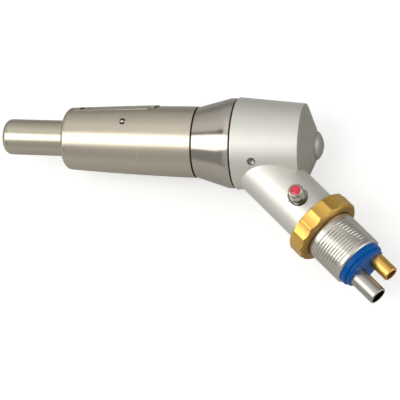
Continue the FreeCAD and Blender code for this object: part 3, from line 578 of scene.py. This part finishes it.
headLook = {"edge": 0.1, "edgesFrom": 54.3, "edgesOutside": 6.0, "edgesAbove": -5.0,
            "coneFrom": 54.48, "coneSlope": 0.5, "clearOfNeck": 6.168}
head = cadCopy("motorHead", "rear_housing", [mainLine, neckLine], headLook["edge"],
               lambda point: (point.x > headLook["edgesFrom"] * mm
                              and point.yz.length > headLook["edgesOutside"] * mm
                              and point.y > headLook["edgesAbove"] * mm))
dress(head, "housing", [blastedAluminium, turnedAluminiumPaintedShade], ["rear_housing"])
for face in head.data.polygons:  # the cone behind the head is turned, the neck beside it is not; the cone's darker grey is partly painted shade
    if (face.center.x > headLook["coneFrom"] * mm and face.normal.x > headLook["coneSlope"]
            and spokeFrom(neckLine, face.center).length > headLook["clearOfNeck"] * mm):
        face.material_index = 1

capLook = {"edge": 0.06, "edgesFrom": 57.0}
# the cap's turned aluminium is darker partly as painted shade
cap = cadCopy("rearCap", "rear_cap", [mainLine], capLook["edge"],
              lambda point: point.x > capLook["edgesFrom"] * mm)
dress(cap, "housing", turnedAluminiumPaintedShade, ["rear_cap"])
print("main axis dressed")


# Gland nut: turned, then milled flat by flat; the flats are cut by a rule in Geometry Nodes

def ruleTree(name, sizes):
    # a node tree from a geometry to a geometry, with a named input for its material and for each size; it
    # starts with a point's place, its angle round X, its spoke out from X, and whether that is long enough
    tree = bpy.data.node_groups.new(name, "GeometryNodeTree")
    inputs = [("Geometry", "Geometry"), ("Material", "Material")] + [(size, "Float") for size in sizes]
    for title, kind in inputs:
        tree.interface.new_socket(title, in_out="INPUT", socket_type="NodeSocket" + kind)
    tree.interface.new_socket("Geometry", in_out="OUTPUT", socket_type="NodeSocketGeometry")
    given = addNode(tree, "NodeGroupInput").outputs
    position = addNode(tree, "GeometryNodeInputPosition")
    spot = addNode(tree, "ShaderNodeSeparateXYZ", {0: position}).outputs
    turned = addNode(tree, "ShaderNodeMath", {0: spot["Z"], 1: spot["Y"]}, operation="ARCTAN2")
    spoke = addNode(tree, "ShaderNodeCombineXYZ", {"Y": spot["Y"], "Z": spot["Z"]})
    reach = addNode(tree, "ShaderNodeVectorMath", {0: spoke}, operation="LENGTH")
    outer = addNode(tree, "ShaderNodeMath", {0: reach, 1: given["wallOutside"]}, operation="GREATER_THAN")
    return tree, given, spot, turned, spoke, reach, outer


def endRule(tree, shaped, material):  # every rule ends in plain geometry with its material
    whole = addNode(tree, "GeometryNodeRealizeInstances", {"Geometry": shaped})
    coated = addNode(tree, "GeometryNodeSetMaterial", {"Geometry": whole, "Material": material})
    addNode(tree, "NodeGroupOutput", {"Geometry": coated})


def applyRule(piece, tree, material, values):
    modifier = piece.modifiers.new(tree.name, "NODES")
    modifier.node_group = tree
    for item in tree.interface.items_tree:
        if item.in_out == "INPUT" and item.name != "Geometry":
            modifier[item.identifier] = material if item.name == "Material" else float(values[item.name])
    settle(piece)


nutLook = {"facets": 16, "acrossCorners": 16.0, "edgeRound": 0.08, "hollow": 0.12, "phase": 9.3,
           "start": 26.36, "end": 30.41, "backChamfer": 0.3, "chamferLength": 0.65, "chamferDepth": 0.6,
           "bore": 10.8, "lip": (28.91, 29.51), "lipBore": 8.6, "mouth": 12.04, "wallOutside": 6.6,
           "wallSteps": 40, "chamferSteps": 14, "segmentsPerFacet": 24, "endSlope": 0.5, "backEdge": 0.1,
           "edge": 0.05, "mouthEdge": 0.08}

nutTree, given, spot, turned, _, reach, outer = ruleTree(
    "flatsRoundTheNut", ["facets", "apothem", "phase", "edgeRound", "hollow", "wallOutside"])
halfPitch = addNode(nutTree, "ShaderNodeMath", {0: pi, 1: given["facets"]}, operation="DIVIDE")
minusHalf = addNode(nutTree, "ShaderNodeMath", {0: halfPitch, 1: -1.0}, operation="MULTIPLY")
phased = addNode(nutTree, "ShaderNodeMath", {0: turned, 1: given["phase"]}, operation="ADD")
fromFlat = addNode(nutTree, "ShaderNodeMath", {0: phased, 1: halfPitch, 2: minusHalf}, operation="WRAP")
lean = addNode(nutTree, "ShaderNodeMath", {0: fromFlat}, operation="COSINE")
flatReach = addNode(nutTree, "ShaderNodeMath", {0: given["apothem"], 1: lean}, operation="DIVIDE")
# each flat is slightly hollow, so it shades the opposite way to the round neck beside it
acrossFlat = addNode(nutTree, "ShaderNodeMath", {0: fromFlat, 1: halfPitch}, operation="DIVIDE")
unsigned = addNode(nutTree, "ShaderNodeMath", {0: acrossFlat}, operation="ABSOLUTE")
squared = addNode(nutTree, "ShaderNodeMath", {0: unsigned, 1: 2.0}, operation="POWER")
bowl = addNode(nutTree, "ShaderNodeMath", {0: 1.0, 1: squared}, operation="SUBTRACT")
dip = addNode(nutTree, "ShaderNodeMath", {0: bowl, 1: given["hollow"]}, operation="MULTIPLY")
hollowReach = addNode(nutTree, "ShaderNodeMath", {0: flatReach, 1: dip}, operation="SUBTRACT")
cutReach = addNode(nutTree, "ShaderNodeMath",
                   {0: reach, 1: hollowReach, 2: given["edgeRound"]}, operation="SMOOTH_MIN")
scaling = addNode(nutTree, "ShaderNodeMath", {0: cutReach, 1: reach}, operation="DIVIDE")
movedSides = {side: addNode(nutTree, "ShaderNodeMath", {0: spot[side], 1: scaling}, operation="MULTIPLY")
              for side in ("Y", "Z")}
moved = addNode(nutTree, "ShaderNodeCombineXYZ", {"X": spot["X"], **movedSides})
milled = addNode(nutTree, "GeometryNodeSetPosition",
                 {"Geometry": given["Geometry"], "Selection": outer, "Position": moved})
endRule(nutTree, milled, given["Material"])

nutTop = nutLook["acrossCorners"] / 2
nutStart, nutEnd = nutLook["start"], nutLook["end"]
bore, mouth, lipBore = nutLook["bore"] / 2, nutLook["mouth"] / 2, nutLook["lipBore"] / 2
lipStart, lipEnd = nutLook["lip"]
walls, slices = nutLook["wallSteps"], nutLook["chamferSteps"]
wallStart = nutStart + nutLook["backChamfer"]
wallEnd = nutEnd - nutLook["chamferLength"]
edge = nutLook["edge"]
nutRows = [(nutStart, bore, nutLook["backEdge"]), (nutStart, nutTop - nutLook["backChamfer"], edge)]
nutRows += [(wallStart + (wallEnd - wallStart) * step / walls, nutTop) for step in range(walls + 1)]
nutRows += [(wallEnd + nutLook["chamferLength"] * step / slices,
             nutTop - nutLook["chamferDepth"] * step / slices) for step in range(1, slices)]
nutRows += [(nutEnd, nutTop - nutLook["chamferDepth"], edge), (nutEnd, mouth, nutLook["mouthEdge"]),
            (lipEnd, mouth), (lipEnd, lipBore, edge), (lipStart, lipBore, edge), (lipStart, bore)]
nut = turnedPiece("glandNut", roundedOutline(nutRows),
                  segments=nutLook["facets"] * nutLook["segmentsPerFacet"])
applyRule(nut, nutTree, goldAnodised, {
    "facets": nutLook["facets"], "apothem": nutTop * cos(pi / nutLook["facets"]) * mm,
    "phase": radians(nutLook["phase"]), "edgeRound": nutLook["edgeRound"] * mm,
    "hollow": nutLook["hollow"] * mm, "wallOutside": nutLook["wallOutside"] * mm})
nut.data.transform(neckFrame)
smoothUpTo(nut, angle=30)
dress(nut, "gland_nut", [goldAnodised, goldRoughPaintedShade], ["gland_nut"])
for face in nut.data.polygons:  # ends and chamfers take the rougher finish, whose browner tone is painted shade
    if abs(face.normal.dot(neckAxis)) > nutLook["endSlope"]:
        face.material_index = 1
print("nut milled:", len(nut.data.polygons))


# Hose connector: a smooth collar, then a fine thread cut by a rule in Geometry Nodes

# grooveFrom and grooveTo are the groove's flank, as a share of the pitch from the middle of the crest
threadLook = {"pitch": 0.7, "depth": 0.17, "start": 31.9, "end": 38.9, "runOut": 0.6, "grooveFrom": 0.28,
              "grooveTo": 0.48, "stepsPerTurn": 12, "wallOutside": 5.7}
connectorLook = {"start": 24.3, "tail": 4.15, "circlipGroove": (25.2, 26.1, 3.55),
                 "sealGroove": (28.345, 28.865, 3.9), "collarStart": 29.59, "collar": 5.7,
                 "crestStart": 30.89, "crest": 5.94, "wall": (30.95, 39.4), "taperStart": 39.5, "taper": 0.3,
                 "end": 39.8, "tailEdge": 0.15, "grooveEdge": 0.04, "collarEdge": 0.08, "endEdge": 0.06,
                 "segments": 192}

threadSizes = ["pitch", "depth", "start", "end", "runOut", "grooveFrom", "grooveTo", "wallOutside"]
threadTree, given, spot, turned, spoke, _, outer = ruleTree("threadRoundTheConnector", threadSizes)
turns = addNode(threadTree, "ShaderNodeMath", {0: turned, 1: 2 * pi}, operation="DIVIDE")
alongTurns = addNode(threadTree, "ShaderNodeMath", {0: spot["X"], 1: given["pitch"]}, operation="DIVIDE")
allTurns = addNode(threadTree, "ShaderNodeMath", {0: alongTurns, 1: turns}, operation="ADD")
phase = addNode(threadTree, "ShaderNodeMath", {0: allTurns}, operation="FRACT")
fromCrest = addNode(threadTree, "ShaderNodeMath", {0: phase, 1: 0.5}, operation="PINGPONG")
groove = addNode(threadTree, "ShaderNodeMapRange",
                 {"Value": fromCrest, "From Min": given["grooveFrom"], "From Max": given["grooveTo"]},
                 interpolation_type="SMOOTHSTEP")
fades = []
for edge, sign in (("start", 1.0), ("end", -1.0)):  # the thread runs out at both ends
    past = addNode(threadTree, "ShaderNodeMath", {0: spot["X"], 1: given[edge]}, operation="SUBTRACT")
    inside = addNode(threadTree, "ShaderNodeMath", {0: past, 1: sign}, operation="MULTIPLY")
    fades.append(addNode(threadTree, "ShaderNodeMapRange",
                         {"Value": inside, "From Max": given["runOut"]}, interpolation_type="SMOOTHSTEP"))
inward = fades[0]
for factor in (fades[1], groove, given["depth"], -1.0):
    inward = addNode(threadTree, "ShaderNodeMath", {0: inward, 1: factor}, operation="MULTIPLY")
outward = addNode(threadTree, "ShaderNodeVectorMath", {0: spoke}, operation="NORMALIZE")
inset = addNode(threadTree, "ShaderNodeVectorMath", {0: outward, "Scale": inward}, operation="SCALE")
threaded = addNode(threadTree, "GeometryNodeSetPosition",
                   {"Geometry": given["Geometry"], "Selection": outer, "Offset": inset})
endRule(threadTree, threaded, given["Material"])

tail, crest, collarStart = connectorLook["tail"], connectorLook["crest"], connectorLook["collarStart"]
clipStart, clipEnd, clipFloor = connectorLook["circlipGroove"]
sealStart, sealEnd, sealFloor = connectorLook["sealGroove"]
wallStart, wallEnd = connectorLook["wall"]
edge = connectorLook["grooveEdge"]
connectorRows = [(connectorLook["start"], 0.0), (connectorLook["start"], tail, connectorLook["tailEdge"]),
                 (clipStart, tail, edge), (clipStart, clipFloor), (clipEnd, clipFloor), (clipEnd, tail, edge),
                 (sealStart, tail), (sealStart, sealFloor), (sealEnd, sealFloor), (sealEnd, tail),
                 (collarStart, tail), (collarStart, connectorLook["collar"], connectorLook["collarEdge"]),
                 (connectorLook["crestStart"], crest)]
wallLength = wallEnd - wallStart
rowCount = int(wallLength / threadLook["pitch"] * threadLook["stepsPerTurn"])
connectorRows += [(wallStart + wallLength * step / rowCount, crest) for step in range(rowCount + 1)]
connectorRows += [(connectorLook["taperStart"], crest),
                  (connectorLook["end"], crest - connectorLook["taper"], connectorLook["endEdge"]),
                  (connectorLook["end"], 0.0)]
connector = turnedPiece("hoseConnector", roundedOutline(connectorRows), segments=connectorLook["segments"])
applyRule(connector, threadTree, neckSteel, {
    size: threadLook[size] * (1 if size in ("grooveFrom", "grooveTo") else mm) for size in threadSizes})
connector.data.transform(neckFrame)
smoothUpTo(connector, angle=40)
dress(connector, "connector", neckSteel, ["hose_connector"])
print("thread cut:", len(connector.data.polygons))


# Gasket, tubes, reversing valve

gasketLook = {"edge": 0.12, "edgesPast": 39.9}
tubeLook = {"edge": 0.06, "exhaustAcross": -2.3, "exhaustEdgesPast": 47.5, "driveAcross": 2.96,
            "driveEdgesPast": 46.0, "boreSlope": -0.7}
exhaustLine = (neckPlace(0, tubeLook["exhaustAcross"]), neckAxis)
driveLine = (neckPlace(0, tubeLook["driveAcross"]), neckAxis)


def pastStation(station):  # picks edges beyond a station along the neck
    return lambda point: (point - bendPoint).dot(neckAxis) > station * mm


gasket = cadCopy("connectorGasket", "connector_gasket", [neckLine, exhaustLine, driveLine],
                 gasketLook["edge"], pastStation(gasketLook["edgesPast"]))
dress(gasket, "connector", blueRubber, ["connector_gasket"])

for name, node, line, past, finishes, slot in (
        ("exhaustTube", "exhaust_tube", exhaustLine, tubeLook["exhaustEdgesPast"],
         [tubeSteel, shadeBlackSteel], "tube_steel"),
        ("driveAirTube", "drive_air_tube", driveLine, tubeLook["driveEdgesPast"],
         [goldTube, goldRoughPaintedShade], "gold_tube")):
    tube = cadCopy(name, node, [line], tubeLook["edge"], pastStation(past))
    dress(tube, "connector", finishes, [node])
    for face in tube.data.polygons:  # the bore takes the second finish, a darker painted shade
        if face.normal.dot(spokeFrom(line, face.center).normalized()) < tubeLook["boreSlope"]:
            face.material_index = 1

valveLook = {"buttonEdge": 0.24, "buttonEdgesAbove": 9.0, "bushEdge": 0.1, "bushEdgesAbove": 5.0}
# the button's darker polished steel is partly painted shade
button = cadCopy("reverseButton", "reverse_spool", [valveLine], valveLook["buttonEdge"],
                 lambda point: point.z > valveLook["buttonEdgesAbove"] * mm)
dress(button, "reverse_valve", buttonSteelPaintedShade, ["reverse_spool"])

bush = cadCopy("valveBush", "valve_sleeve", [valveLine], valveLook["bushEdge"],
               lambda point: point.z > valveLook["bushEdgesAbove"] * mm)
dress(bush, "housing", brightSteel, ["valve_sleeve"])

inlayLook = {"foot": 9.45, "rim": 9.66, "dome": 0.24, "radius": 1.14, "edge": 0.03, "steps": 10}
inlayRows = [(inlayLook["foot"], 0.0), (inlayLook["foot"], inlayLook["radius"]),
             (inlayLook["rim"], inlayLook["radius"], inlayLook["edge"])]
for step in range(inlayLook["steps"] - 1, -1, -1):
    share = step / inlayLook["steps"]
    inlayRows.append((inlayLook["rim"] + inlayLook["dome"] * (1 - share ** 2), inlayLook["radius"] * share))
inlayFrame = Matrix.Translation(valveLine[0]) @ turnTo(upward, neckAxis, upward.cross(neckAxis))
inlay = turnedPiece("reverseButtonInlay", roundedOutline(inlayRows), inlayFrame, segments=64)
dress(inlay, "reverse_valve", redEnamel, ["reverse_button_inlay"])
print("neck dressed")


# Camera: the photograph's own angle, with the part's bend point placed where the photograph has it

cameraLook = {"distance": 400.0, "lens": 162.3, "sensor": 36.0, "azimuth": 33.8, "elevation": 64.87,
              "roll": -29.08, "bendRight": 8.25, "bendUp": 12.56, "clipStart": 10.0}

cameraTurn = (Matrix.Rotation(radians(cameraLook["azimuth"]), 4, "Z")
              @ Matrix.Rotation(radians(90 - cameraLook["elevation"]), 4, "X")
              @ Matrix.Rotation(radians(cameraLook["roll"]), 4, "Z"))
toRight, toTop, toViewer = ((cameraTurn @ Vector(way)).normalized()
                            for way in ((1, 0, 0), (0, 1, 0), (0, 0, 1)))
cameraPlace = bendPoint + (toViewer * cameraLook["distance"] - toRight * cameraLook["bendRight"]
                           - toTop * cameraLook["bendUp"]) * mm
cameraData = bpy.data.cameras.new("photoCamera")
cameraData.lens = cameraLook["lens"]
cameraData.sensor_width = cameraLook["sensor"]
cameraData.clip_start = cameraLook["clipStart"] * mm
camera = bpy.data.objects.new("photoCamera", cameraData)
camera.matrix_world = Matrix.Translation(cameraPlace) @ cameraTurn
scene.collection.objects.link(camera)
scene.camera = camera
print("camera placed")


# Floor, softbox and surroundings. Sizes are in metres, angles in degrees.

stageLook = {"floorSize": 3.0, "floorColour": "#d8d8d6", "floorGlow": 0.5, "nearMirror": 0.78,
             "farMirror": 0.45, "mirrorFrom": -0.02, "mirrorTo": 0.09, "keyRadiance": 2.25, "keyWidth": 0.62,
             "keyHeight": 0.285, "keyDistance": 0.45, "keyLeft": 52.0, "keyRise": 1.0, "flareFrom": 0.38,
             "flareTo": 0.5}
# Brightness of the surroundings by the angle round the piece's axis, from the viewer's side (0) to above (+)
# and below (-): cards and flags beside the softbox, as the body sees them and, further left, the flare.
bodySide = [(-180, 0.45), (-110, 0.5), (-75, 0.55), (-60, 0.5), (-40, 0.5), (-22, 0.6), (22, 0.7),
            (30, 0.98), (45, 0.98), (58, 0.85), (72, 0.68), (90, 0.56), (112, 0.42), (140, 0.35), (180, 0.45)]
flareSide = [(-180, 0.45), (-110, 0.5), (-75, 0.5), (-62, 0.3), (-40, 0.3), (-24, 0.16), (20, 0.3),
             (23, 0.04), (32, 0.04), (37, 0.75), (55, 0.78), (75, 0.66), (95, 0.52), (115, 0.36), (180, 0.45)]
# What that is multiplied by, from the spigot's side (-1) to the cap's (1): a flag dims what the neck's far
# side sees, and a card brightens what the cone behind the head sees.
rightSide = [(-1, 1.0), (0.0, 1.0), (0.28, 0.53), (0.62, 0.53), (0.88, 2.7), (1, 2.7)]

floorMesh = bpy.data.meshes.new("studioFloor")
half = stageLook["floorSize"] / 2
floorHeight = cadBox[0].z
floorCentre = (cadBox[0] + cadBox[1]) / 2
floorMesh.from_pydata([(floorCentre.x + x * half, floorCentre.y + y * half, floorHeight)
                       for x, y in ((-1, -1), (1, -1), (1, 1), (-1, 1))], [], [(0, 1, 2, 3)])
floor = newPiece("studioFloor", floorMesh)
# Matt white paper: it glows just enough for the lens to see white round the shadow, while metal sees it
# dimmer, most of all the part of the sheet that lies behind the piece, away from the softbox.
floorMaterial, floorTree, floorShader = startMaterial("paperFloorWhite", {"Roughness": 0.9})
rays = addNode(floorTree, "ShaderNodeLightPath")
floorPlace = addNode(floorTree, "ShaderNodeTexCoord").outputs["Object"]
fromPiece = addNode(floorTree, "ShaderNodeVectorMath", {0: floorPlace, 1: floorCentre}, operation="SUBTRACT")
behind = addNode(floorTree, "ShaderNodeVectorMath", {0: fromPiece, 1: toTop}, operation="DOT_PRODUCT")
mirror = addNode(floorTree, "ShaderNodeMapRange",
                 {"Value": behind, "From Min": stageLook["mirrorFrom"],
                  "From Max": stageLook["mirrorTo"], "To Min": stageLook["nearMirror"],
                  "To Max": stageLook["farMirror"]},
                 interpolation_type="SMOOTHSTEP")
indirect = addNode(floorTree, "ShaderNodeMath",
                   {0: rays.outputs["Is Glossy Ray"], 1: rays.outputs["Is Transmission Ray"]},
                   operation="MAXIMUM")
paper = addNode(floorTree, "ShaderNodeMix", {"Factor": indirect, "A": 1.0, "B": mirror}, data_type="FLOAT")
dimmed = addNode(floorTree, "ShaderNodeVectorMath",
                 {0: linear(stageLook["floorColour"])[:3], "Scale": paper}, operation="SCALE")
floorTree.links.new(dimmed.outputs[0], floorShader.inputs["Base Color"])
glow = addNode(floorTree, "ShaderNodeMath",
               {0: rays.outputs["Is Camera Ray"], 1: stageLook["floorGlow"]}, operation="MULTIPLY")
emission = addNode(floorTree, "ShaderNodeEmission", {"Strength": glow})
lit = addNode(floorTree, "ShaderNodeAddShader", {0: floorShader, 1: emission})
floorTree.links.new(lit.outputs[0], floorTree.nodes["Material Output"].inputs["Surface"])
floorMesh.materials.append(floorMaterial)

leftTurn = radians(stageLook["keyLeft"])
keyDirection = (toViewer * cos(leftTurn) - toRight * sin(leftTurn)
                + toTop * sin(radians(stageLook["keyRise"]))).normalized()
keyData = bpy.data.lights.new("softboxKey", "AREA")
keyData.shape = "RECTANGLE"
keyData.size = stageLook["keyWidth"]
keyData.size_y = stageLook["keyHeight"]
keyData.energy = stageLook["keyRadiance"] * pi * stageLook["keyWidth"] * stageLook["keyHeight"]
key = bpy.data.objects.new("softboxKey", keyData)
keySide = toTop.cross(keyDirection).normalized()
key.matrix_world = (Matrix.Translation(bendPoint + keyDirection * stageLook["keyDistance"])
                    @ turnTo(keySide, keyDirection.cross(keySide), keyDirection))
scene.collection.objects.link(key)

world = bpy.data.worlds.new("studioSurroundings")
scene.world = world
world.use_nodes = True
worldTree = world.node_tree
direction = addNode(worldTree, "ShaderNodeTexCoord").outputs["Generated"]
facingViewer = (toViewer - mainAxis * toViewer.dot(mainAxis)).normalized()
facingUp = facingViewer.cross(mainAxis).normalized()
rise, near, forward = (addNode(worldTree, "ShaderNodeVectorMath",
                               {0: direction, 1: way}, operation="DOT_PRODUCT")
                       for way in (facingUp, facingViewer, -mainAxis))
angle = addNode(worldTree, "ShaderNodeMath", {0: rise, 1: near}, operation="ARCTAN2")
roundAbout = addNode(worldTree, "ShaderNodeMapRange", {"Value": angle, "From Min": -pi, "From Max": pi})
endToEnd = addNode(worldTree, "ShaderNodeMapRange", {"Value": forward, "From Min": 1.0, "From Max": -1.0})
levels = []
for stops, place, least, most in ((bodySide, roundAbout, -180, 180), (flareSide, roundAbout, -180, 180),
                                  (rightSide, endToEnd, -1, 1)):
    ramp = addNode(worldTree, "ShaderNodeValToRGB", {"Fac": place})
    elements = ramp.color_ramp.elements
    while len(elements) < len(stops):
        elements.new(0.5)
    for element, (reach, level) in zip(elements, stops):
        element.position = (reach - least) / (most - least)
    for element, (reach, level) in zip(elements, stops):
        element.color = (level, level, level, 1)
    levels.append(ramp)
leftward = addNode(worldTree, "ShaderNodeMapRange",
                   {"Value": forward, "From Min": stageLook["flareFrom"], "From Max": stageLook["flareTo"]},
                   interpolation_type="SMOOTHSTEP")
both = addNode(worldTree, "ShaderNodeMix",
               {"Factor": leftward, "A": levels[0], "B": levels[1]}, data_type="RGBA")
scaled = addNode(worldTree, "ShaderNodeMix",
                 {"Factor": 1.0, "A": both, "B": levels[2]}, data_type="RGBA", blend_type="MULTIPLY")
worldRays = addNode(worldTree, "ShaderNodeLightPath")
shown = addNode(worldTree, "ShaderNodeMix",
                {"Factor": worldRays.outputs["Is Camera Ray"], "A": scaled, "B": (1, 1, 1, 1)},
                data_type="RGBA")
worldTree.links.new(shown.outputs["Result"], worldTree.nodes["Background"].inputs["Color"])
scene.view_settings.view_transform = "Standard"
print("stage lit")
